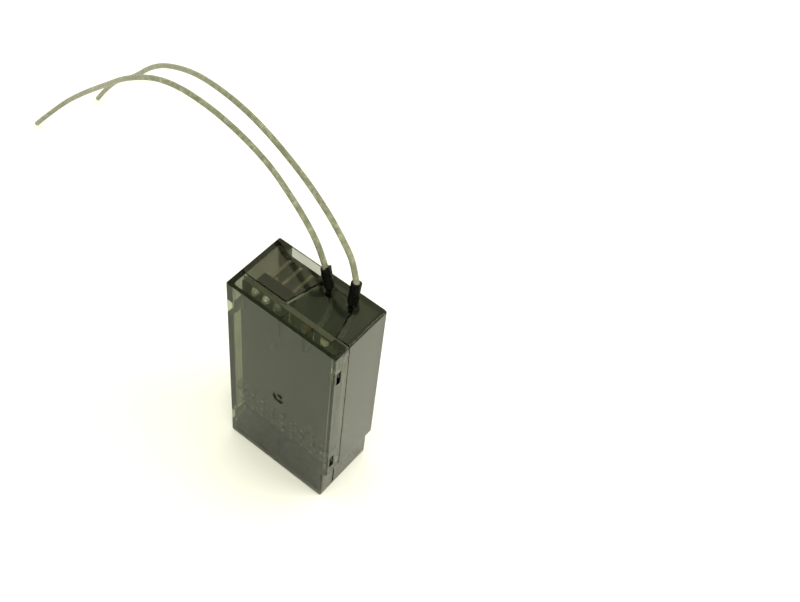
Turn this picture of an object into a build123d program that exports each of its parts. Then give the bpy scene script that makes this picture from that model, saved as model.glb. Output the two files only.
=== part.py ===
from build123d import *
from math import radians, tan
import os

# Nine-channel RC receiver: a smoke-clear two-part snap case around one circuit board, standing on its
# servo socket end, with two coax antennas that leave the top through black sleeves.
# Millimetres. Origin at the bottom centre of the case, +X right along the front face, +Y back, +Z up.

# Servo ports: nine columns of three pins at the standard pitch, in two header strips over two plug guides
PITCH = 2.54
PIN = 0.64
PIN_CLEARANCE = 0.02
COLUMNS = 9
COLUMNS_LEFT = 5
ROWS = 3
GUIDE_T = 0.75
PLUG_DEPTH = 8.0         # front to back room for one servo plug
HEADER_TOP = 8.7
HEADER_H = 2.5
KEY_W = 1.3
KEY_DEPTH = 0.3
SEAT = 0.05              # clearance where rigid pieces seat on each other

# Circuit board
BOARD_SETBACK = 3.0      # front face of the case to the front of the board
BOARD_T = 1.0
BOARD_EDGE_GAP = 0.1
BOARD_CORNER = 0.6
HOLE_R = 0.5
HOLE_SIDES = 8

# Case: as wide as the ports need, as deep as the board and one plug need
WALL = 1.0
PORT_WALL = 0.5          # side walls beside the servo ports
STEP_IN = 1.1            # the port end is narrower on the right
STEP_H = 9.0
BACK_PAD = 0.4           # ribs on the back wall behind the headers
CASE_W = COLUMNS * PITCH + 2 * PORT_WALL + STEP_IN + 0.8 * SEAT
CASE_D = BOARD_SETBACK + PLUG_DEPTH + 2 * GUIDE_T + 2 * SEAT + BACK_PAD + WALL
CASE_H = 49.0
FLOOR = 0.9
CORNER_R = 0.5
EDGE_R = 0.3
INNER_R = 0.5
SEAM_DEPTH = 3.72        # front shell, from the front face to the parting line
SEAM_GAP = 0.2
PORT_SEAM_GAP = 0.35     # wider parting line beside the servo ports
LEFT, RIGHT = -CASE_W / 2, CASE_W / 2
FRONT, BACK = -CASE_D / 2, CASE_D / 2
TOP = CASE_H
SEAM = FRONT + SEAM_DEPTH
STEP_RIGHT = RIGHT - STEP_IN

BOARD_W = CASE_W - 2 * (WALL + BOARD_EDGE_GAP)
BOARD_TOP = TOP - WALL - 0.15
BOARD_BOTTOM = HEADER_TOP + 0.2
BOARD_FRONT = FRONT + BOARD_SETBACK
BOARD_BACK = BOARD_FRONT + BOARD_T
HEADER_FRONT = BOARD_FRONT + SEAT
HEADER_BACK = HEADER_FRONT + PLUG_DEPTH + 2 * GUIDE_T
HEADER_LEFT = LEFT + PORT_WALL + SEAT / 2
DIVIDER_X = HEADER_LEFT + COLUMNS_LEFT * PITCH
PIN_TIP = 1.2
PIN_OUT = 0.8            # pin length showing through the front of the board
FIRST_ROW_Z = BOARD_BOTTOM + 1.3
LAST_ROW_Z = FIRST_ROW_Z + (ROWS - 1) * PITCH
SOLDER_H = 0.55
SOLDER_R = 0.78

# Tongue of the front shell's top wall, which closes over the antenna sleeves
TONGUE_X = 3.85
TONGUE_W_SEAM = 11.1
TONGUE_W_END = 7.3
TONGUE_END = SEAM + 7.85

# Snap latches: window in the front shell, hooked tab on the rear shell
WINDOW_H = 3.55
WINDOW_DEPTH = 1.15
WINDOW_FROM_FRONT = 0.7
LATCH_CLEARANCE = 0.08
TAB_T = 0.65
TAB_W = 2.6
TAB_LIFT = 0.35
LOW_LATCH_Z = 5.4
HOOK_SHARE = 0.8         # part of the wall that a hook reaches through
TAB_ROOT = SEAM + SEAM_GAP + 0.8
LATCHES = [(1, TOP - 6.75), (1, STEP_H + 4.5), (-1, TOP - 7.2), (-1, LOW_LATCH_Z)]   # side, height

# Moulding marks and ribs
DIMPLE_Z = CASE_H / 2
DIMPLE_D = 2.9
DIMPLE_DEPTH = 0.3
GATE_D = 1.1
RIB_T = 0.5
FRONT_RIB_X = 0.0        # rib between the front wall and the plug guide
GUSSET_X = (-0.4, 5.1)
GUSSET_H = 4.0
STOP_Z = LAST_ROW_Z + 1.7
LEDGE_Z = (TOP * 0.43, TOP * 0.67)
LEDGE_H = 2.0
LEDGE_REACH = 1.7
CORNER_BLOCK_W = 2.8     # block of the front shell that fills a notch in the board
CORNER_BLOCK_H = 1.3
CORNER_BLOCK_LEFT = RIGHT - WALL / 2 - CORNER_BLOCK_W
CORNER_BLOCK_LOW = TOP - WALL - CORNER_BLOCK_H

# Three-pin data port behind a slot in the back wall
DATA_X = -5.6
DATA_PINS = 3
DATA_Z = TOP - WALL - PITCH / 2 - 0.08
SLOT_W = DATA_PINS * PITCH
SLOT_H = 2.5
DATA_PIN_END = BACK - 1.8 * WALL

# Antennas: coax cable, sleeve and the point where each wire leaves its sleeve
COAX_D = 1.13
SLEEVE_OD = 2.0
SLEEVE_BORE = COAX_D + 0.06
SLEEVE_HOLE = SLEEVE_OD + 0.1
SLEEVE_BELOW = 1.2       # sleeve length under the top wall
BASE_LEFT = Vector(1.2, TONGUE_END - 0.05, TOP)
MOUTH_LEFT = BASE_LEFT + Vector(-1.18, 0.48, 3.2)
BASE_RIGHT = Vector(6.6, TONGUE_END + 0.1, TOP)
MOUTH_RIGHT = BASE_RIGHT + Vector(-0.25, 0.95, 3.8)
ARC_SHARE = 0.45
# Wire routes: distance right of and behind the sleeve's mouth, and height as a share of the mouth's
WIRE_LEFT = [
    (-1.32, 0.17, 1.0575), (-4.42, 1.27, 1.0996), (-11.12, 4.27, 1.1054), (-21.42, 8.07, 1.1169),
    (-35.62, 10.27, 1.1341), (-49.32, 11.27, 1.1034), (-62.02, 12.97, 0.9406), (-74.92, 16.97, 0.6935),
    (-87.32, 20.27, 0.4579), (-99.02, 22.07, 0.2241), (-107.92, 20.17, 0.0134),
]
WIRE_RIGHT = [
    (-1.25, 0.55, 1.0682), (-4.05, 1.45, 1.1098), (-10.25, 4.35, 1.125), (-20.25, 8.35, 1.1307),
    (-34.55, 12.15, 1.1477), (-48.35, 15.75, 1.0928), (-61.85, 21.25, 0.9394), (-75.75, 25.85, 0.7443),
    (-88.15, 29.55, 0.4792), (-101.25, 34.25, 0.2519), (-110.25, 35.85, 0.0133),
]
# Inside stretch of each coax, from its pad on the board to the foot of its sleeve
PAD_R = 1.0
PAD_H = 0.45
PAD_LEFT = (5.0, TOP - 2.6)
PAD_RIGHT = (6.9, TOP - 9.0)
TURN_LEFT = TOP - 4.6    # height where the inside stretch turns into the sleeve's line
TURN_RIGHT = TOP - 6.4
TAIL_R = 2.2

# Parts on the board: shield can and regulator in a left column, processor and crystal in a right one
PART_TOP = TOP - 6.3
PART_LOW = LAST_ROW_Z + 3.4
CAN_W, CAN_H, CAN_T = 9.0, 0.38 * (PART_TOP - PART_LOW), 2.2
CAN_X, CAN_Z = -4.4, PART_TOP - CAN_H / 2
CAN_SHEET = 0.2
CPU_W, CPU_T = 7.0, 1.1
CPU_X, CPU_Z = 4.8, PART_LOW + CPU_W / 2 + 3.2
CPU_LEADS = 8
CPU_LEAD_PITCH = 0.75
RADIO_W, RADIO_T = 4.0, 0.85
REG_W, REG_H, REG_T = 6.5, 3.5, 1.5
REG_X, REG_Z = -5.4, PART_LOW + 6.0
CRYSTAL_W, CRYSTAL_H, CRYSTAL_T = 4.0, 2.4, 1.1
CRYSTAL_X, CRYSTAL_Z = 3.6, PART_TOP - CRYSTAL_H / 2
LED_W, LED_H, LED_T = 1.6, 0.9, 0.8
LED_X, LED_Z = 7.8, TOP - 2.3


def block(x0, x1, y0, y1, z0, z1):
    """Box between two corners."""
    return Pos((x0 + x1) / 2, (y0 + y1) / 2, (z0 + z1) / 2) * Box(x1 - x0, y1 - y0, z1 - z0)


def xz_prism(points, y0, y1):
    """Solid between two depths, with its outline seen from the front."""
    outline = Polyline(*[(x, y0, z) for x, z in points], close=True)
    return extrude(make_face(outline), amount=y1 - y0, dir=(0, 1, 0))


def yz_prism(points, x0, x1):
    """Solid between two widths, with its outline seen from the side."""
    outline = Polyline(*[(x0, y, z) for y, z in points], close=True)
    return extrude(make_face(outline), amount=x1 - x0, dir=(1, 0, 0))


def tube(points, radii, radius):
    """Round cable along straight runs joined by tangent arcs."""
    path = FilletPolyline(*points, radius=radii)
    return sweep(Plane(origin=path @ 0, z_dir=path % 0) * Circle(radius), path=path)


def on_board(x, z, w, h, t, back=False):
    """Box seated on the front or the back of the board."""
    y0, y1 = (BOARD_BACK, BOARD_BACK + t) if back else (BOARD_FRONT - t, BOARD_FRONT)
    return block(x - w / 2, x + w / 2, y0, y1, z - h / 2, z + h / 2)


def row_y(row):
    """Depth of a row of servo pins; row 0 is nearest the board."""
    return HEADER_FRONT + GUIDE_T + PLUG_DEPTH / 2 + (row - 1) * PITCH


def row_z(row):
    """Height where a row of servo pins passes through the board."""
    return FIRST_ROW_Z + row * PITCH


def column_x(column):
    return HEADER_LEFT + (column + 0.5) * PITCH


def data_pin_x(pin):
    return DATA_X + (pin - (DATA_PINS - 1) / 2) * PITCH


def sleeve_line(mouth, base):
    """Unit direction of a sleeve, out of the case."""
    return (mouth - base).normalized()


def sleeve_point(mouth, base, z):
    """Point of a sleeve's centre line at one height."""
    line = sleeve_line(mouth, base)
    return mouth + line * ((z - mouth.Z) / line.Z)


def case_solid():
    points = [(LEFT, 0), (STEP_RIGHT, 0), (STEP_RIGHT, STEP_H), (RIGHT, STEP_H), (RIGHT, TOP), (LEFT, TOP)]
    body = xz_prism(points, FRONT, BACK)
    body = fillet(body.edges().filter_by(Axis.Y), CORNER_R)
    rims = body.faces().filter_by(Plane.XZ).edges()
    return fillet(rims, EDGE_R)


def cavity_solid():
    inner_left, inner_right = LEFT + WALL, RIGHT - WALL
    port_left, port_right = LEFT + PORT_WALL, STEP_RIGHT - PORT_WALL
    shelf = STEP_H + WALL
    points = [
        (port_left, FLOOR), (port_right, FLOOR), (port_right, shelf), (inner_right, shelf),
        (inner_right, TOP - WALL), (inner_left, TOP - WALL), (inner_left, STEP_H), (port_left, STEP_H),
    ]
    body = xz_prism(points, FRONT + WALL, BACK - WALL)
    upright = [e for e in body.edges().filter_by(Axis.Z) if e.center().Z > STEP_H]
    return fillet(upright, INNER_R)


def tongue_solid(grow, z0, z1):
    """Trapezoid behind the seam, grown on its free sides for the matching notch."""
    start = SEAM - SEAM_GAP
    half_seam, half_end = TONGUE_W_SEAM / 2 + grow, TONGUE_W_END / 2 + grow
    end = TONGUE_END + grow
    outline = Polyline(
        (TONGUE_X - half_seam, start, z0), (TONGUE_X + half_seam, start, z0),
        (TONGUE_X + half_end, end, z0), (TONGUE_X - half_end, end, z0), close=True)
    return extrude(make_face(outline), amount=z1 - z0, dir=(0, 0, 1))


def sleeve_holes():
    """Leaning holes for both sleeves through the top wall."""
    holes = []
    for mouth, base in ((MOUTH_LEFT, BASE_LEFT), (MOUTH_RIGHT, BASE_RIGHT)):
        foot = sleeve_point(mouth, base, TOP - 2 * WALL)
        line = Plane(origin=foot, z_dir=sleeve_line(mouth, base))
        drill = Cylinder(SLEEVE_HOLE / 2, 4 * WALL, align=(Align.CENTER, Align.CENTER, Align.MIN))
        holes.append(line * drill)
    return holes


def side_wall(side, z):
    """Outer and inner X of the side wall at one height."""
    if side < 0:
        return LEFT, LEFT + (PORT_WALL if z < STEP_H else WALL)
    return (STEP_RIGHT, STEP_RIGHT - PORT_WALL) if z < STEP_H else (RIGHT, RIGHT - WALL)


def latch_window(side, z):
    outer, inner = side_wall(side, z)
    x0, x1 = sorted((outer + side, inner - side * 0.2))
    y0 = FRONT + WINDOW_FROM_FRONT
    return block(x0, x1, y0, y0 + WINDOW_DEPTH, z - WINDOW_H / 2, z + WINDOW_H / 2)


def latch_tab(side, z):
    """Tab rooted on the rear shell's wall, with a wedge hook that fills its window."""
    outer, inner = side_wall(side, z)
    near = inner - side * LATCH_CLEARANCE
    far = near - side * TAB_T
    y_tip = FRONT + WALL + 2 * LATCH_CLEARANCE
    low, high = z + TAB_LIFT - TAB_W / 2, z + TAB_LIFT + TAB_W / 2
    arm = block(*sorted((near, far)), y_tip, TAB_ROOT, low, high)
    foot = block(*sorted((inner, far)), SEAM + SEAM_GAP, TAB_ROOT, low, high)
    hook_back = FRONT + WINDOW_FROM_FRONT + WINDOW_DEPTH - LATCH_CLEARANCE
    reach = near + side * abs(outer - inner) * HOOK_SHARE
    wedge = Polyline((near, y_tip, low), (reach, hook_back, low), (near, hook_back, low), close=True)
    return arm + foot + extrude(make_face(wedge), amount=TAB_W, dir=(0, 0, 1))


def front_shell():
    walls = case_solid() - cavity_solid()
    shell = walls & block(LEFT - 1, RIGHT + 1, FRONT - 1, SEAM - SEAM_GAP / 2, -1, TOP + 1)
    shell += tongue_solid(0, TOP - WALL, TOP)
    inner = FRONT + WALL
    rest = BOARD_FRONT - SEAT
    for x in GUSSET_X:
        shell += block(x - RIB_T / 2, x + RIB_T / 2, inner - RIB_T, rest, TOP - WALL - GUSSET_H, TOP - WALL / 2)
    for side in (-1, 1):
        wall = side * (CASE_W / 2 - WALL / 2)
        stop = side * (CASE_W / 2 - WALL - LEDGE_REACH)
        shell += block(*sorted((wall, stop)), inner - RIB_T, rest, STOP_Z - RIB_T / 2, STOP_Z + RIB_T / 2)
    rib_left, rib_right = FRONT_RIB_X - RIB_T / 2, FRONT_RIB_X + RIB_T / 2
    shell += block(rib_left, rib_right, inner - RIB_T, rest, FLOOR / 2, HEADER_TOP)
    block_right, block_back = RIGHT - WALL / 2, SEAM - SEAM_GAP / 2
    shell += block(CORNER_BLOCK_LEFT, block_right, rest - 0.4, block_back, CORNER_BLOCK_LOW, TOP - WALL / 2)
    for side, z in LATCHES:
        shell -= latch_window(side, z)
    face = Plane(origin=(0, FRONT, DIMPLE_Z), z_dir=(0, 1, 0))
    inward = (Align.CENTER, Align.CENTER, Align.MIN)
    dish = Cone(DIMPLE_D / 2, DIMPLE_D * 0.39, DIMPLE_DEPTH, align=inward)
    shell -= face * (dish - Cylinder(GATE_D / 2, DIMPLE_DEPTH * 2, align=inward))
    for hole in sleeve_holes():
        shell -= hole
    return shell


def rear_shell():
    walls = case_solid() - cavity_solid()
    shell = walls & block(LEFT - 1, RIGHT + 1, SEAM + SEAM_GAP / 2, BACK + 1, -1, TOP + 1)
    shell -= tongue_solid(SEAM_GAP, TOP - 1.5 * WALL, TOP + 1)
    port_left, port_right = LEFT + PORT_WALL, STEP_RIGHT - PORT_WALL
    port_back = HEADER_BACK - GUIDE_T
    shell -= block(port_left, port_right, SEAM - 1, port_back, -1, FLOOR + 0.1)
    shell -= block(LEFT - 1, RIGHT + 1, SEAM - 1, SEAM + PORT_SEAM_GAP - SEAM_GAP / 2, -1, STEP_H - WALL)
    slot_left, slot_right, slot_top = DATA_X - SLOT_W / 2, DATA_X + SLOT_W / 2, TOP - WALL
    shell -= block(slot_left, slot_right, BACK - 2 * WALL, BACK + 1, slot_top - SLOT_H, slot_top)
    for side in (-1, 1):
        wall = side * (CASE_W / 2 - WALL / 2)
        reach = side * (CASE_W / 2 - WALL - LEDGE_REACH)
        for z in LEDGE_Z:
            rest = BOARD_BACK + SEAT
            shell += block(*sorted((wall, reach)), rest, rest + RIB_T * 2, z - LEDGE_H / 2, z + LEDGE_H / 2)
    for x in (port_left + PITCH, DIVIDER_X, port_right - PITCH):
        pad = HEADER_BACK + SEAT
        shell += block(x - RIB_T, x + RIB_T, pad, BACK - WALL / 2, FLOOR / 2, HEADER_TOP)
    for side, z in LATCHES:
        shell += latch_tab(side, z)
    for hole in sleeve_holes():
        shell -= hole
    return shell


def circuit_board():
    """Board that fills the case, notched beside the latches and drilled for the pins."""
    half = BOARD_W / 2
    foot_right = STEP_RIGHT - PORT_WALL - BOARD_EDGE_GAP
    shelf = STEP_H + WALL + BOARD_EDGE_GAP
    board = xz_prism([
        (-half, BOARD_BOTTOM), (foot_right, BOARD_BOTTOM), (foot_right, shelf),
        (half, shelf), (half, BOARD_TOP), (-half, BOARD_TOP)], BOARD_FRONT, BOARD_BACK)
    top_corners = [e for e in board.edges().filter_by(Axis.Y) if e.center().Z > CASE_H / 2]
    board = chamfer(top_corners, BOARD_CORNER)
    reach = TAB_T + 2 * LATCH_CLEARANCE - BOARD_EDGE_GAP
    for side, z in LATCHES:
        x0, x1 = sorted((side * BOARD_W, side * (half - reach)))
        y0, y1 = BOARD_FRONT - BOARD_T, BOARD_BACK + BOARD_T
        board -= block(x0, x1, y0, y1, z + TAB_LIFT - TAB_W * 0.7, z + TAB_LIFT + TAB_W * 0.7)
    notch_left, notch_low = CORNER_BLOCK_LEFT - BOARD_EDGE_GAP, CORNER_BLOCK_LOW - BOARD_EDGE_GAP
    board -= block(notch_left, RIGHT, BOARD_FRONT - BOARD_T, BOARD_BACK + BOARD_T, notch_low, TOP)
    outline = Plane(origin=(0, BOARD_FRONT - BOARD_T, 0), z_dir=(0, 1, 0)) * RegularPolygon(HOLE_R, HOLE_SIDES)
    drill = extrude(outline, amount=3 * BOARD_T)
    for column in range(COLUMNS):
        for row in range(ROWS):
            board -= Pos(column_x(column), 0, row_z(row)) * drill
    for pin in range(DATA_PINS):
        board -= Pos(data_pin_x(pin), 0, DATA_Z) * drill
    return board


def latch_notch():
    """Room in the header and the front guide for the low left latch."""
    z = LATCHES[3][1]
    reach = HEADER_LEFT + 2 * TAB_T
    return block(LEFT, reach, FRONT, TAB_ROOT + 2 * SEAT, z - TAB_W, z + TAB_W)


def servo_header(first, columns):
    """Black strip that holds the pins of some columns."""
    x0 = HEADER_LEFT + first * PITCH + SEAT / 2
    x1 = HEADER_LEFT + (first + columns) * PITCH - SEAT / 2
    low = HEADER_TOP - HEADER_H
    strip = block(x0, x1, HEADER_FRONT, HEADER_BACK, low, HEADER_TOP)
    hole = PIN / 2 + PIN_CLEARANCE
    for column in range(first, first + columns):
        x = column_x(column)
        for row in range(ROWS):
            y = row_y(row)
            strip -= block(x - hole, x + hole, y - hole, y + hole, low, HEADER_TOP)
    return strip - latch_notch()


def plug_guide(y0, y1, keyed):
    """Black wall under the headers. The front one has a key groove a column and a slot for the rib."""
    low, high = FLOOR + SEAT, HEADER_TOP - HEADER_H
    guide = block(HEADER_LEFT + SEAT / 2, HEADER_LEFT + COLUMNS * PITCH - SEAT / 2, y0, y1, low, high)
    if keyed:
        for column in range(COLUMNS):
            x = column_x(column)
            guide -= block(x - KEY_W / 2, x + KEY_W / 2, y1 - KEY_DEPTH, y1, low, high)
        slot_left, slot_right = FRONT_RIB_X - RIB_T / 2 - SEAT, FRONT_RIB_X + RIB_T / 2 + SEAT
        guide -= block(slot_left, slot_right, FRONT, BOARD_FRONT, low, high)
        guide -= latch_notch()
    return guide


def servo_pins(row):
    """Nine square pins bent from one row of the sockets into the board."""
    y, z = row_y(row), row_z(row)
    half, tip = PIN / 2, PIN / 4
    end = BOARD_FRONT - PIN_OUT
    outline = [
        (y - half, PIN_TIP + tip), (y - tip, PIN_TIP), (y + tip, PIN_TIP), (y + half, PIN_TIP + tip),
        (y + half, z), (y, z + half), (end + tip, z + half), (end, z + tip), (end, z - tip),
        (end + tip, z - half), (y - half, z - half)]
    pins = []
    for column in range(COLUMNS):
        x = column_x(column)
        pins.append(yz_prism(outline, x - half, x + half))
    return pins


def solder_joint(x, z, radius, height):
    """Solder cone on the front of the board, around a square pin."""
    foot = Plane(origin=(x, BOARD_FRONT, z), z_dir=(0, -1, 0)) * RegularPolygon(radius, HOLE_SIDES)
    crown = Plane(origin=(x, BOARD_FRONT - height, z), z_dir=(0, -1, 0))
    cone = loft([foot, crown * RegularPolygon(PIN * 0.85, HOLE_SIDES)])
    half = PIN / 2 + PIN_CLEARANCE
    return cone - block(x - half, x + half, BOARD_FRONT - 2 * height, BOARD_FRONT, z - half, z + half)


def servo_solder_joints():
    places = [(column_x(column), row_z(row)) for column in range(COLUMNS) for row in range(ROWS)]
    return [solder_joint(x, z, SOLDER_R, SOLDER_H) for x, z in places]


def data_port_header():
    half_w, half_h = DATA_PINS * PITCH / 2 - SEAT, PITCH / 2
    y0, y1 = BOARD_BACK, BOARD_BACK + PITCH
    body = block(DATA_X - half_w, DATA_X + half_w, y0, y1, DATA_Z - half_h, DATA_Z + half_h)
    body = chamfer(body.edges().filter_by(Axis.Y), 0.3)
    hole = PIN / 2 + PIN_CLEARANCE
    for pin in range(DATA_PINS):
        x = data_pin_x(pin)
        body -= block(x - hole, x + hole, BOARD_BACK - 1, BOARD_BACK + 2 * PITCH, DATA_Z - hole, DATA_Z + hole)
    return body


def data_port_pins():
    half, tip = PIN / 2, PIN / 4
    start, end = BOARD_FRONT - PIN_OUT, DATA_PIN_END
    outline = [
        (start, DATA_Z - tip), (start + tip, DATA_Z - half), (end - tip, DATA_Z - half), (end, DATA_Z - tip),
        (end, DATA_Z + tip), (end - tip, DATA_Z + half), (start + tip, DATA_Z + half), (start, DATA_Z + tip)]
    return [yz_prism(outline, data_pin_x(p) - half, data_pin_x(p) + half) for p in range(DATA_PINS)]


def data_port_solder_joints():
    return [solder_joint(data_pin_x(p), DATA_Z, 1.0, 0.75) for p in range(DATA_PINS)]


def radio_shield_can():
    """Folded sheet can over the radio parts, open to the board, with a row of vent holes."""
    can = on_board(CAN_X, CAN_Z, CAN_W, CAN_H, CAN_T, back=True)
    can = chamfer(can.faces().sort_by(Axis.Y)[-1].edges(), 0.3)
    inner_w, inner_h = CAN_W - 2 * CAN_SHEET, CAN_H - 2 * CAN_SHEET
    can -= on_board(CAN_X, CAN_Z, inner_w, inner_h, CAN_T - CAN_SHEET, back=True)
    for i in range(5):
        x, y = CAN_X + (i - 2) * 1.9, BOARD_BACK + CAN_T
        z = CAN_Z - CAN_H * 0.36
        can -= block(x - 0.5, x + 0.5, y - 2 * CAN_SHEET, y + CAN_SHEET, z, z + 0.8)
    return can


def radio_chip():
    chip = on_board(CAN_X, CAN_Z, RADIO_W, RADIO_W, RADIO_T, back=True)
    return chamfer(chip.faces().sort_by(Axis.Y)[-1].edges(), 0.15)


def main_processor():
    chip = on_board(CPU_X, CPU_Z, CPU_W, CPU_W, CPU_T, back=True)
    return chamfer(chip.faces().sort_by(Axis.Y)[-1].edges(), 0.2)


def processor_leads():
    """Gull-wing leads around the processor, bent down to the board."""
    start, knee, end = CPU_W / 2, CPU_W / 2 + 0.35, CPU_W / 2 + 1.0
    high, thick = 0.55, 0.14
    seat = Plane(origin=(CPU_X, BOARD_BACK, CPU_Z), x_dir=(1, 0, 0), z_dir=(0, 1, 0))
    leads = []
    for turn in range(4):
        for i in range(CPU_LEADS):
            near = (i - (CPU_LEADS - 1) / 2) * CPU_LEAD_PITCH - 0.15
            outline = Polyline(
                (start, near, high), (knee, near, high), (knee + 0.15, near, 0), (end, near, 0),
                (end, near, thick), (knee + 0.28, near, thick), (knee + 0.13, near, high + thick),
                (start, near, high + thick), close=True)
            lead = extrude(make_face(outline), amount=0.3, dir=(0, 1, 0))
            leads.append(seat * (Rot(0, 0, 90 * turn) * lead))
    return leads


def voltage_regulator():
    """Power package with a wide tab above and three legs below."""
    body = on_board(REG_X, REG_Z, REG_W, REG_H, REG_T, back=True)
    body = chamfer(body.faces().sort_by(Axis.Y)[-1].edges(), 0.25)
    parts = body + on_board(REG_X, REG_Z + REG_H / 2 + 0.6, 3.0, 1.6, 0.3, back=True)
    for i in (-1, 0, 1):
        parts += on_board(REG_X + i * 2.3, REG_Z - REG_H / 2 - 0.6, 0.7, 1.6, 0.3, back=True)
    return parts


def crystal():
    can = on_board(CRYSTAL_X, CRYSTAL_Z, CRYSTAL_W, CRYSTAL_H, CRYSTAL_T, back=True)
    can = chamfer(can.edges().filter_by(Axis.Y), 0.5)
    return chamfer(can.faces().sort_by(Axis.Y)[-1].edges(), 0.2)


def capacitors():
    """Brown chip capacitors, some on each face of the board."""
    front = [(3.8, TOP - 2.4), (-3.0, DIMPLE_Z + 12.0), (-2.0, PART_LOW - 0.8), (6.5, PART_LOW)]
    back = [(-8.4 + 2.2 * i, PART_LOW) for i in range(4)]
    parts = [on_board(x, z, 1.4, 2.0, 0.95) for x, z in front]
    parts += [on_board(x, z, 1.4, 2.0, 0.95, back=True) for x, z in back]
    return [chamfer(p.edges().filter_by(Axis.Z), 0.12) for p in parts]


def resistors():
    """Flat chip resistors in a row under the processor."""
    return [on_board(1.0 + 1.8 * i, PART_LOW - 0.4, 0.85, 1.6, 0.5, back=True) for i in range(5)]


def status_led():
    base = on_board(LED_X, LED_Z, LED_W, LED_H, LED_T * 0.5)
    lens = on_board(LED_X, LED_Z, LED_W * 0.7, LED_H, LED_T)
    return base + chamfer(lens.faces().sort_by(Axis.Y)[0].edges(), 0.15)


def antenna_solder_pads():
    pads = []
    for x, z in (PAD_LEFT, PAD_RIGHT):
        seat = Plane(origin=(x, BOARD_BACK, z), z_dir=(0, 1, 0))
        pads.append(extrude(seat * RegularPolygon(PAD_R, HOLE_SIDES), amount=PAD_H, taper=20))
    return pads


def antenna_sleeve(mouth, base, ribbed):
    """Black sleeve on the coax; the left one is ribbed and has a raised ear at its mouth."""
    foot = sleeve_point(mouth, base, TOP - WALL - SLEEVE_BELOW)
    line = Plane(origin=foot, x_dir=(1, 0, 0), z_dir=sleeve_line(mouth, base))
    length = (mouth - foot).length
    low = (Align.CENTER, Align.CENTER, Align.MIN)
    sleeve = Cylinder(SLEEVE_OD / 2, length, align=low)
    if ribbed:
        for i in range(3):
            band = Cylinder(SLEEVE_OD, 0.15, align=low) - Cylinder(SLEEVE_OD / 2 - 0.1, 0.15, align=low)
            sleeve -= Pos(0, 0, length - 0.8 - i * 0.75) * band
        sleeve += Pos(0, 0, length) * (Cylinder(SLEEVE_OD / 2, 0.4, align=low) & block(0.55, 2, -2, 2, 0, 1))
    return line * (sleeve - Cylinder(SLEEVE_BORE / 2, 3 * length))


def antenna_tail(mouth, base, pad, turn_z, wire):
    """Coax inside the case: from its pad back to the sleeve's line, then up through the sleeve to its mouth."""
    pad_top = BOARD_BACK + PAD_H
    turn = sleeve_point(mouth, base, turn_z)
    start = Vector(pad[0], pad_top, pad[1])
    below = start - (turn - start).normalized() * COAX_D
    beyond = mouth + sleeve_line(mouth, base) * COAX_D / 2
    points = [tuple(below), tuple(turn), tuple(beyond)]
    cable = tube(points, [min(TAIL_R, *arc_radii(points))], COAX_D / 2)
    cable -= block(pad[0] - 4, pad[0] + 4, pad_top - 4, pad_top, pad[1] - 4, pad[1] + 4)
    exit_plane = Plane(origin=mouth, z_dir=Vector(*wire[1]) - mouth)
    return cable - exit_plane * Box(4, 4, 2, align=(Align.CENTER, Align.CENTER, Align.MIN))


def wire_route(mouth, steps):
    """Points of a free wire, from the mouth of its sleeve to its tip on the table."""
    return [tuple(mouth)] + [(mouth.X + dx, mouth.Y + dy, mouth.Z * share) for dx, dy, share in steps]


def arc_radii(points):
    """Largest tangent arcs that the runs of a cable allow."""
    radii = []
    for a, b, c in zip(points, points[1:], points[2:]):
        run_in, run_out = Vector(*b) - Vector(*a), Vector(*c) - Vector(*b)
        half_turn = radians(run_in.get_angle(run_out)) / 2
        radii.append(ARC_SHARE * min(run_in.length, run_out.length) / tan(half_turn))
    return radii


def antenna_wire(points):
    """Free coax from the mouth of its sleeve to its tip."""
    radii = arc_radii(points)
    print("antenna wire radii", [round(r, 1) for r in radii])
    return tube(points, radii, COAX_D / 2)


def write(name, shapes):
    solids = []
    for shape in shapes if isinstance(shapes, list) else [shapes]:
        solids += shape.solids()
    compound = Compound(children=solids) if len(solids) > 1 else solids[0]
    export_step(compound, f"parts/{name}.step")


def main():
    os.makedirs("parts", exist_ok=True)
    write("front_shell", front_shell())
    write("rear_shell", rear_shell())
    write("circuit_board", circuit_board())
    write("servo_header_left", servo_header(0, COLUMNS_LEFT))
    write("servo_header_right", servo_header(COLUMNS_LEFT, COLUMNS - COLUMNS_LEFT))
    write("plug_guide_front", plug_guide(FRONT + WALL + 2 * SEAT, HEADER_FRONT + GUIDE_T, keyed=True))
    write("plug_guide_rear", plug_guide(HEADER_BACK - GUIDE_T, HEADER_BACK, keyed=False))
    for row, name in enumerate(("signal_pins", "power_pins", "ground_pins")):
        write(name, servo_pins(row))
    write("servo_solder_joints", servo_solder_joints())
    write("data_port_header", data_port_header())
    write("data_port_pins", data_port_pins())
    write("data_port_solder_joints", data_port_solder_joints())
    write("radio_shield_can", radio_shield_can())
    write("radio_chip", radio_chip())
    write("main_processor", main_processor())
    write("processor_leads", processor_leads())
    write("voltage_regulator", voltage_regulator())
    write("crystal", crystal())
    write("capacitors", capacitors())
    write("resistors", resistors())
    write("status_led", status_led())
    write("antenna_solder_pads", antenna_solder_pads())
    sides = (("left", MOUTH_LEFT, BASE_LEFT, PAD_LEFT, TURN_LEFT, WIRE_LEFT),
             ("right", MOUTH_RIGHT, BASE_RIGHT, PAD_RIGHT, TURN_RIGHT, WIRE_RIGHT))
    for side, mouth, base, pad, turn_z, steps in sides:
        wire = wire_route(mouth, steps)
        write(f"antenna_sleeve_{side}", antenna_sleeve(mouth, base, ribbed=side == "left"))
        write(f"antenna_tail_{side}", antenna_tail(mouth, base, pad, turn_z, wire))
        write(f"antenna_wire_{side}", antenna_wire(wire))


main()
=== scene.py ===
import bpy
from math import tau
from mathutils import Matrix, Vector


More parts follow.
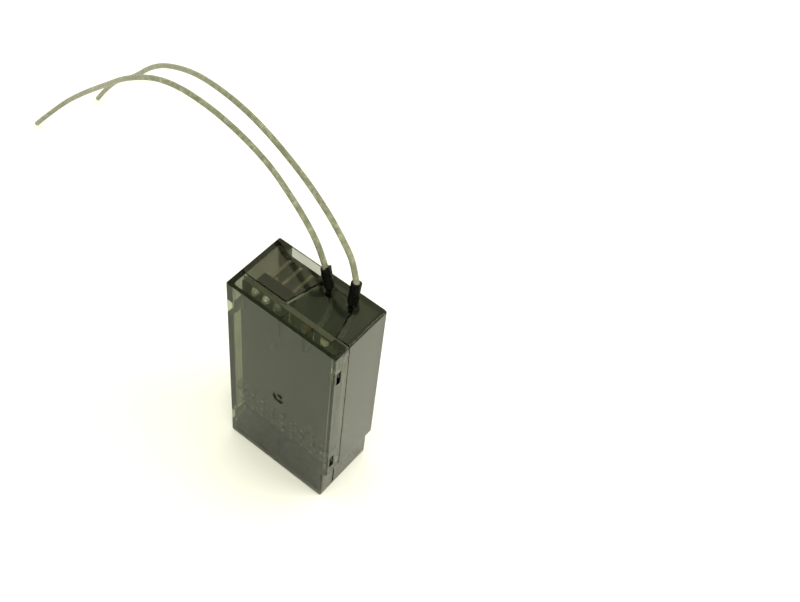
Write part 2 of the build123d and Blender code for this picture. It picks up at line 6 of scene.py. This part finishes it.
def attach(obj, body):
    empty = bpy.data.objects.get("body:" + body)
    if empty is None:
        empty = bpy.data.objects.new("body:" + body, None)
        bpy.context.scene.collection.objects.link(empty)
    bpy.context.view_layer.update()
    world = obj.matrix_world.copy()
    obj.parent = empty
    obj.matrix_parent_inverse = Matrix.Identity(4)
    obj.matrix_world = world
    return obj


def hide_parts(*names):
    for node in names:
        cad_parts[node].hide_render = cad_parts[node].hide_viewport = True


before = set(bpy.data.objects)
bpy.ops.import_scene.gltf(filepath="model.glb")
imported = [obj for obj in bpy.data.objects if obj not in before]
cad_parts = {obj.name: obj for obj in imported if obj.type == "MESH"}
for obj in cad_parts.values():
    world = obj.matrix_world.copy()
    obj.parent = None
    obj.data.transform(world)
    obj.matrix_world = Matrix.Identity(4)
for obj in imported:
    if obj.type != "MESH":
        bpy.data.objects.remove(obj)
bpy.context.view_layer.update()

MM = 0.001


def mm(*values):
    return tuple(v * MM for v in values)


# Camera at the photograph's viewing angle
camera_data = bpy.data.cameras.new("camera")
camera_data.lens = 52.29
camera_data.sensor_width = 36.0
camera_data.clip_start = 0.005
camera_data.clip_end = 20.0
camera = bpy.data.objects.new("camera", camera_data)
bpy.context.scene.collection.objects.link(camera)
right = Vector((0.78342688, 0.61486682, 0.09044957))
down = Vector((0.53316886, -0.59016227, -0.60616785))
ahead = Vector((-0.31933257, 0.52311308, -0.79017682))
pose = Matrix((right, -down, -ahead)).transposed().to_4x4()
pose.translation = Vector(mm(77.489, -95.911, 209.136))
camera.matrix_world = pose
bpy.context.scene.camera = camera


# Material helpers
def new_material(name):
    """Empty principled material: the material, its node tree and its shader."""
    material = bpy.data.materials.new(name)
    material.use_nodes = True
    tree = material.node_tree
    return material, tree, tree.nodes["Principled BSDF"]


def node(tree, kind, **settings):
    """New node with its own properties set."""
    n = tree.nodes.new(kind)
    for key, value in settings.items():
        setattr(n, key, value)
    return n


def put(n, values):
    """Set a node's own inputs."""
    for key, value in values.items():
        n.inputs[key].default_value = value


def calc(tree, operation, *values):
    """Math node whose inputs are numbers or other nodes' outputs."""
    n = node(tree, "ShaderNodeMath", operation=operation)
    for socket, value in zip(n.inputs, values):
        if isinstance(value, bpy.types.NodeSocket):
            tree.links.new(value, socket)
        else:
            socket.default_value = value
    return n.outputs["Value"]


def xyz(tree, vector):
    """A vector's X, Y and Z outputs."""
    parts = node(tree, "ShaderNodeSeparateXYZ")
    tree.links.new(vector, parts.inputs["Vector"])
    return parts.outputs


def blend(tree, factor, below, above):
    """Colour mix that lays one colour, fixed or from a node, over another node's."""
    mix = node(tree, "ShaderNodeMix", data_type="RGBA")
    tree.links.new(factor, mix.inputs["Factor"])
    tree.links.new(below, mix.inputs[6])
    if isinstance(above, bpy.types.NodeSocket):
        tree.links.new(above, mix.inputs[7])
    else:
        mix.inputs[7].default_value = (*above, 1.0)
    return mix.outputs[2]


def object_noise(tree, scale, detail=3.0, roughness=0.5, stretch=None):
    """Noise in the object's own metres."""
    coords = node(tree, "ShaderNodeTexCoord")
    noise = node(tree, "ShaderNodeTexNoise")
    put(noise, {"Scale": scale, "Detail": detail, "Roughness": roughness})
    source = coords.outputs["Object"]
    if stretch:
        mapping = node(tree, "ShaderNodeMapping")
        put(mapping, {"Scale": stretch})
        tree.links.new(source, mapping.inputs["Vector"])
        source = mapping.outputs["Vector"]
    tree.links.new(source, noise.inputs["Vector"])
    return noise.outputs["Fac"]


def ramp(tree, fac, stops):
    """Colour ramp from a list of (position, colour)."""
    r = node(tree, "ShaderNodeValToRGB")
    elements = r.color_ramp.elements
    while len(elements) < len(stops):
        elements.new(0.5)
    for element, (position, colour) in zip(elements, stops):
        element.position = position
        element.color = (*colour, 1.0)
    tree.links.new(fac, r.inputs["Fac"])
    return r.outputs["Color"]


# Noise seldom leaves this range, so tones and roughness are spread over it
NOISE_RANGE = (0.3, 0.7)


def tones(tree, fac, dark, light):
    """Ramp from a dark to a light colour over that range."""
    return ramp(tree, fac, list(zip(NOISE_RANGE, (dark, light))))


def span(tree, fac, low, high, out_low, out_high):
    """Map a factor from one range to another, clamped at both ends."""
    m = node(tree, "ShaderNodeMapRange")
    put(m, {"From Min": low, "From Max": high, "To Min": out_low, "To Max": out_high})
    tree.links.new(fac, m.inputs["Value"])
    return m.outputs["Result"]


def bump(tree, shader, height, strength, distance):
    """Relief on the shader's normal, over a distance in metres."""
    b = node(tree, "ShaderNodeBump")
    put(b, {"Strength": strength, "Distance": distance})
    tree.links.new(height, b.inputs["Height"])
    tree.links.new(b.outputs["Normal"], shader.inputs["Normal"])


def simple(name, dark, light, scale, rough, metallic=0.0, bump_strength=0.15, bump_mm=0.02, stretch=None, coat=0.0,
           specular=0.5):
    """Two-tone noisy finish with matching roughness and a fine bump."""
    material, tree, shader = new_material(name)
    fac = object_noise(tree, scale, detail=4.0, roughness=0.6, stretch=stretch)
    tree.links.new(tones(tree, fac, dark, light), shader.inputs["Base Color"])
    tree.links.new(span(tree, fac, *NOISE_RANGE, *rough), shader.inputs["Roughness"])
    put(shader, {"Metallic": metallic, "Coat Weight": coat, "Specular IOR Level": specular})
    bump(tree, shader, object_noise(tree, scale * 4, detail=2.0, stretch=stretch), bump_strength, bump_mm * MM)
    return material


# Share of a normal along an axis from which a face begins to count as facing that way, and counts in full
FACING = (0.6, 0.85)

# Smoke plastic: places in mm, and what both shells share
SEAM = -3.28              # depth of the parting line
SEAM_BAND = 0.4           # reach of its cut faces, to either side
BEHIND_SEAM = SEAM + 0.1  # painted shade on the front shell from here on
BEHIND_CASE = 20.0        # and the rear shell nowhere
BOTTOM_WALL_TOP = 2.0     # flat faces up to this height get painted shade
# near-black tint for painted shade
PAINTED_SHADE_TINT = (0.02, 0.02, 0.015)
# painted shade for the seam's gap, darker still
SEAM_GAP_SHADE_TINT = (0.004, 0.004, 0.003)
MOTTLE = 1.15             # the side walls' lighter patches against the darker ones
SMOKE_COLOUR = (0.60, 0.59, 0.56)
SMOKE_DENSITY = 1400.0    # per metre


def smoke_plastic(name, sides, faces, top, gloss, ior, painted_shade_beyond):
    """Smoke plastic that refracts and absorbs with depth; gloss tints its reflections.

    The side walls, the walls that face front and back, and the top each have their own tint, painted light and shade
    for how bright each side shows. The bottom wall is painted dark as shade, and so are upright faces beyond a given
    depth. The cut faces along the seam are painted black as the shade in the gap.
    """
    material, tree, shader = new_material(name)
    normal = xyz(tree, node(tree, "ShaderNodeNewGeometry").outputs["Normal"])
    place = xyz(tree, node(tree, "ShaderNodeTexCoord").outputs["Object"])

    def facing(axis):
        return span(tree, calc(tree, "ABSOLUTE", normal[axis]), *FACING, 0.0, 1.0)

    # painted light and shade: each facing way takes its own tint; the mottling on the side walls is random tone
    tint = tones(tree, object_noise(tree, 160.0), sides, [MOTTLE * c for c in sides])
    tint = blend(tree, facing("Y"), tint, faces)
    # painted shade: faces beyond the given depth and all flat faces get the near-black tint; flat faces above the
    # bottom wall then take the top's tint
    tint = blend(tree, calc(tree, "GREATER_THAN", place["Y"], painted_shade_beyond * MM), tint, PAINTED_SHADE_TINT)
    tint = blend(tree, facing("Z"), tint, PAINTED_SHADE_TINT)
    above_bottom = calc(tree, "GREATER_THAN", place["Z"], BOTTOM_WALL_TOP * MM)
    tint = blend(tree, calc(tree, "MULTIPLY", above_bottom, facing("Z")), tint, top)
    # painted shade: cut faces within reach of the seam are painted near-black as the shade in the gap
    near_seam = calc(tree, "COMPARE", place["Y"], SEAM * MM, SEAM_BAND * MM)
    tint = blend(tree, calc(tree, "MULTIPLY", near_seam, facing("Y")), tint, SEAM_GAP_SHADE_TINT)
    tree.links.new(tint, shader.inputs["Base Color"])
    put(shader, {"Transmission Weight": 1.0, "IOR": ior, "Specular Tint": (*gloss, 1.0)})
    haze = object_noise(tree, 420.0, roughness=0.55)
    tree.links.new(span(tree, haze, 0.35, 0.75, 0.02, 0.06), shader.inputs["Roughness"])
    bump(tree, shader, object_noise(tree, 60.0, detail=0.0, roughness=0.4), strength=0.02, distance=0.05 * MM)
    volume = node(tree, "ShaderNodeVolumeAbsorption")
    put(volume, {"Color": (*SMOKE_COLOUR, 1.0), "Density": SMOKE_DENSITY})
    tree.links.new(volume.outputs["Volume"], tree.nodes["Material Output"].inputs["Volume"])
    return material


def board_material():
    """Dark solder mask with faint copper tracks on both faces, and pale laminate on the cut edges."""
    material, tree, shader = new_material("board")
    normal = xyz(tree, node(tree, "ShaderNodeNewGeometry").outputs["Normal"])
    on_face = calc(tree, "GREATER_THAN", calc(tree, "ABSOLUTE", normal["Y"]), FACING[0])
    flat = node(tree, "ShaderNodeMapping")
    put(flat, {"Rotation": (tau / 4, 0.0, 0.0)})
    tree.links.new(node(tree, "ShaderNodeTexCoord").outputs["Object"], flat.inputs["Vector"])
    tracks = node(tree, "ShaderNodeTexBrick", offset=0.37)
    put(tracks, {"Scale": 130.0, "Mortar Size": 0.02, "Brick Width": 0.9, "Row Height": 0.16})
    tree.links.new(flat.outputs["Vector"], tracks.inputs["Vector"])
    mask = ramp(tree, tracks.outputs["Fac"], [(0.0, (0.020, 0.042, 0.024)), (1.0, (0.036, 0.072, 0.042))])
    laminate = tones(tree, object_noise(tree, 900.0), (0.26, 0.26, 0.18), (0.36, 0.36, 0.26))
    tree.links.new(blend(tree, on_face, laminate, mask), shader.inputs["Base Color"])
    tree.links.new(span(tree, object_noise(tree, 500.0), *NOISE_RANGE, 0.28, 0.45), shader.inputs["Roughness"])
    bump(tree, shader, tracks.outputs["Fac"], strength=0.2, distance=0.03 * MM)
    return material


BRAID_ALONG = 150.0      # waves over the length of a cord
BRAID_AROUND = 8.0       # waves around it
BRAID_SHARE = 0.55       # of its light and shade; streaks give the rest


def coax_material():
    """Grey braid under a clear jacket: two sets of crossing strands that glint."""
    material, tree, shader = new_material("coax")
    place = xyz(tree, node(tree, "ShaderNodeTexCoord").outputs["UV"])
    strands = []
    for direction in (-1.0, 1.0):
        along = calc(tree, "MULTIPLY", place["X"], direction * tau * BRAID_ALONG)
        strands.append(calc(tree, "SINE", calc(tree, "MULTIPLY_ADD", place["Y"], tau * BRAID_AROUND, along)))
    woven = span(tree, calc(tree, "MULTIPLY", *strands), -1.0, 1.0, 0.0, 1.0)
    streak = object_noise(tree, 900.0, roughness=0.6)
    shade = calc(tree, "MULTIPLY_ADD", woven, BRAID_SHARE, span(tree, streak, *NOISE_RANGE, 0.0, 1.0 - BRAID_SHARE))
    stops = [(0.15, (0.13, 0.133, 0.095)), (0.55, (0.20, 0.205, 0.15)), (0.9, (0.46, 0.47, 0.37))]
    tree.links.new(ramp(tree, shade, stops), shader.inputs["Base Color"])
    tree.links.new(span(tree, streak, *NOISE_RANGE, 0.3, 0.5), shader.inputs["Roughness"])
    put(shader, {"Metallic": 0.05, "Specular IOR Level": 0.12, "Coat Weight": 0.08, "Coat Roughness": 0.12})
    bump(tree, shader, woven, strength=0.25, distance=0.03 * MM)
    return material


# Finishes: simple() takes a dark and a light tone, the noise scale and the range of roughness
MATERIALS = {
    # the shells' tints for sides, front and back faces and top are painted light and shade, set to how light or dark
    # each side shows
    "front_smoke": smoke_plastic(
        "smoke_front", sides=(0.86, 0.88, 0.76), faces=(0.62, 0.69, 0.49), top=(0.84, 0.87, 0.86),
        gloss=(0.78, 0.92, 0.58), ior=1.31, painted_shade_beyond=BEHIND_SEAM),
    # the rear shell's near-black front and back walls are painted shade behind the board
    "rear_smoke": smoke_plastic(
        "smoke_rear", sides=(0.40, 0.40, 0.32), faces=(0.04, 0.045, 0.035), top=(0.74, 0.76, 0.76),
        gloss=(0.88, 0.92, 0.66), ior=1.42, painted_shade_beyond=BEHIND_CASE),
    "board": board_material(),
    "coax": coax_material(),
    "socket": simple(
        "socket_plastic", (0.004, 0.004, 0.004), (0.010, 0.010, 0.009), 300, (0.38, 0.55), specular=0.2),
    "gold": simple("gold_plate", (0.48, 0.42, 0.28), (0.70, 0.62, 0.44), 800, (0.16, 0.30), metallic=1.0),
    # reflectance from dark to near white in noise patches: painted glints and painted shade on the solder
    "solder": simple(
        "solder", (0.10, 0.10, 0.08), (1.0, 0.99, 0.95), 350, (0.03, 0.12), metallic=1.0, bump_strength=0.8,
        bump_mm=0.25),
    # the servo joints take the board mask's dark green: painted shade that keeps them dark
    "shaded_solder": simple("solder_painted_shade", (0.018, 0.036, 0.021), (0.034, 0.062, 0.038), 1500, (0.6, 0.8), specular=0.1),
    "steel": simple(
        "shield_steel", (0.46, 0.46, 0.43), (0.66, 0.66, 0.62), 500, (0.25, 0.42), metallic=1.0, stretch=(1, 1, 6)),
    "chip": simple("chip_resin", (0.010, 0.010, 0.010), (0.022, 0.022, 0.021), 1200, (0.45, 0.62)),
    "tin": simple("tinned_leads", (0.55, 0.55, 0.52), (0.80, 0.80, 0.76), 900, (0.2, 0.35), metallic=1.0),
    "tan": simple("capacitor_tan", (0.12, 0.075, 0.038), (0.24, 0.16, 0.08), 700, (0.35, 0.5)),
    "resistor": simple("resistor_glaze", (0.012, 0.012, 0.016), (0.035, 0.035, 0.04), 900, (0.2, 0.35)),
    # the lens colour is partly its own and partly whitened as a painted highlight in place of its glint
    "led": simple("led_lens", (0.62, 0.56, 0.36), (1.0, 0.97, 0.82), 900, (0.08, 0.20), coat=1.0),
    "sleeve": simple(
        "sleeve_rubber", (0.001, 0.001, 0.001), (0.004, 0.004, 0.003), 700, (0.20, 0.45), bump_strength=1.0,
        bump_mm=0.15, specular=0.08),
}

FINISH = {
    "front_shell": "front_smoke", "rear_shell": "rear_smoke", "circuit_board": "board",
    "servo_header_left": "socket", "servo_header_right": "socket", "data_port_header": "socket",
    "plug_guide_front": "socket", "plug_guide_rear": "socket",
    "signal_pins": "gold", "power_pins": "gold", "ground_pins": "gold", "data_port_pins": "gold",
    "servo_solder_joints": "shaded_solder", "data_port_solder_joints": "solder", "antenna_solder_pads": "solder",
    "radio_shield_can": "steel", "crystal": "steel", "radio_chip": "chip", "main_processor": "chip",
    "voltage_regulator": "chip", "processor_leads": "tin", "capacitors": "tan", "resistors": "resistor",
    "status_led": "led", "antenna_sleeve_left": "sleeve", "antenna_sleeve_right": "sleeve",
    "antenna_tail_left": "coax", "antenna_tail_right": "coax",
}
for name, finish in FINISH.items():
    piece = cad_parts[name]
    piece.data.materials.clear()
    piece.data.materials.append(MATERIALS[finish])


# Antenna wires: each one smooth line through the route's own points
COAX_D = 1.13
ROUTES = {
    "left": (136.2, [
        (0.02, 4.93, 52.2), (-1.3, 5.1, 55.2), (-4.4, 6.2, 57.4), (-11.1, 9.2, 57.7), (-21.4, 13.0, 58.3),
        (-35.6, 15.2, 59.2), (-49.3, 16.2, 57.6), (-62.0, 17.9, 49.1), (-74.9, 21.9, 36.2),
        (-87.3, 25.2, 23.9), (-99.0, 27.0, 11.7), (-107.9, 25.1, 0.7)]),
    "right": (141.6, [
        (6.35, 5.55, 52.8), (5.1, 6.1, 56.4), (2.3, 7.0, 58.6), (-3.9, 9.9, 59.4), (-13.9, 13.9, 59.7),
        (-28.2, 17.7, 60.6), (-42.0, 21.3, 57.7), (-55.5, 26.8, 49.6), (-69.4, 31.4, 39.3),
        (-81.8, 35.1, 25.3), (-94.9, 39.8, 13.3), (-103.9, 41.4, 0.7)]),
}


def antenna(side, points):
    """Cord in place of one free antenna wire, all in mm."""
    curve = bpy.data.curves.new(f"antenna_{side}", "CURVE")
    curve.dimensions = "3D"
    curve.resolution_u = 16
    curve.bevel_depth = COAX_D / 2 * MM
    curve.bevel_resolution = 5
    curve.use_fill_caps = True
    spline = curve.splines.new("NURBS")
    spline.points.add(len(points) - 1)
    for control, point in zip(spline.points, points):
        control.co = (*mm(*point), 1.0)
    spline.order_u = 3
    spline.use_endpoint_u = True
    spline.use_smooth = True
    wire = bpy.data.objects.new(f"antenna_{side}", curve)
    bpy.context.scene.collection.objects.link(wire)
    curve.materials.append(MATERIALS["coax"])
    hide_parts(f"antenna_wire_{side}")
    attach(wire, "root")


for side, (length, points) in ROUTES.items():
    antenna(side, points)


# Pale floor, white surroundings, one broad soft light and a small one for glints
bpy.ops.mesh.primitive_plane_add(size=6.0, location=(0, 0, 0))
floor = bpy.context.object
floor.name = "floor"
floor_material, _, floor_shader = new_material("floor")
put(floor_shader, {"Base Color": (0.95, 0.95, 0.97, 1.0), "Roughness": 0.9, "Specular IOR Level": 0.1})
floor.data.materials.append(floor_material)

world = bpy.data.worlds.new("studio")
world.use_nodes = True
put(world.node_tree.nodes["Background"], {"Color": (1.0, 1.0, 0.80, 1.0), "Strength": 1.26})
bpy.context.scene.world = world
bpy.context.scene.view_settings.view_transform = "Standard"


def area_light(name, place, target, size, power):
    """Disc lamp that points at a target, in metres and watts."""
    data = bpy.data.lights.new(name, "AREA")
    data.shape = "DISK"
    data.size = size
    data.energy = power
    data.color = (1.0, 1.0, 0.85)
    lamp = bpy.data.objects.new(name, data)
    lamp.location = place
    lamp.rotation_euler = (Vector(target) - Vector(place)).to_track_quat("-Z", "Y").to_euler()
    bpy.context.scene.collection.objects.link(lamp)


area_light("key", place=(0.22, 0.12, 0.30), target=(0, 0, 0.02), size=0.25, power=0.44)
area_light("spark", place=(0.12, -0.10, 0.40), target=(0, 0, 0.04), size=0.05, power=0.10)
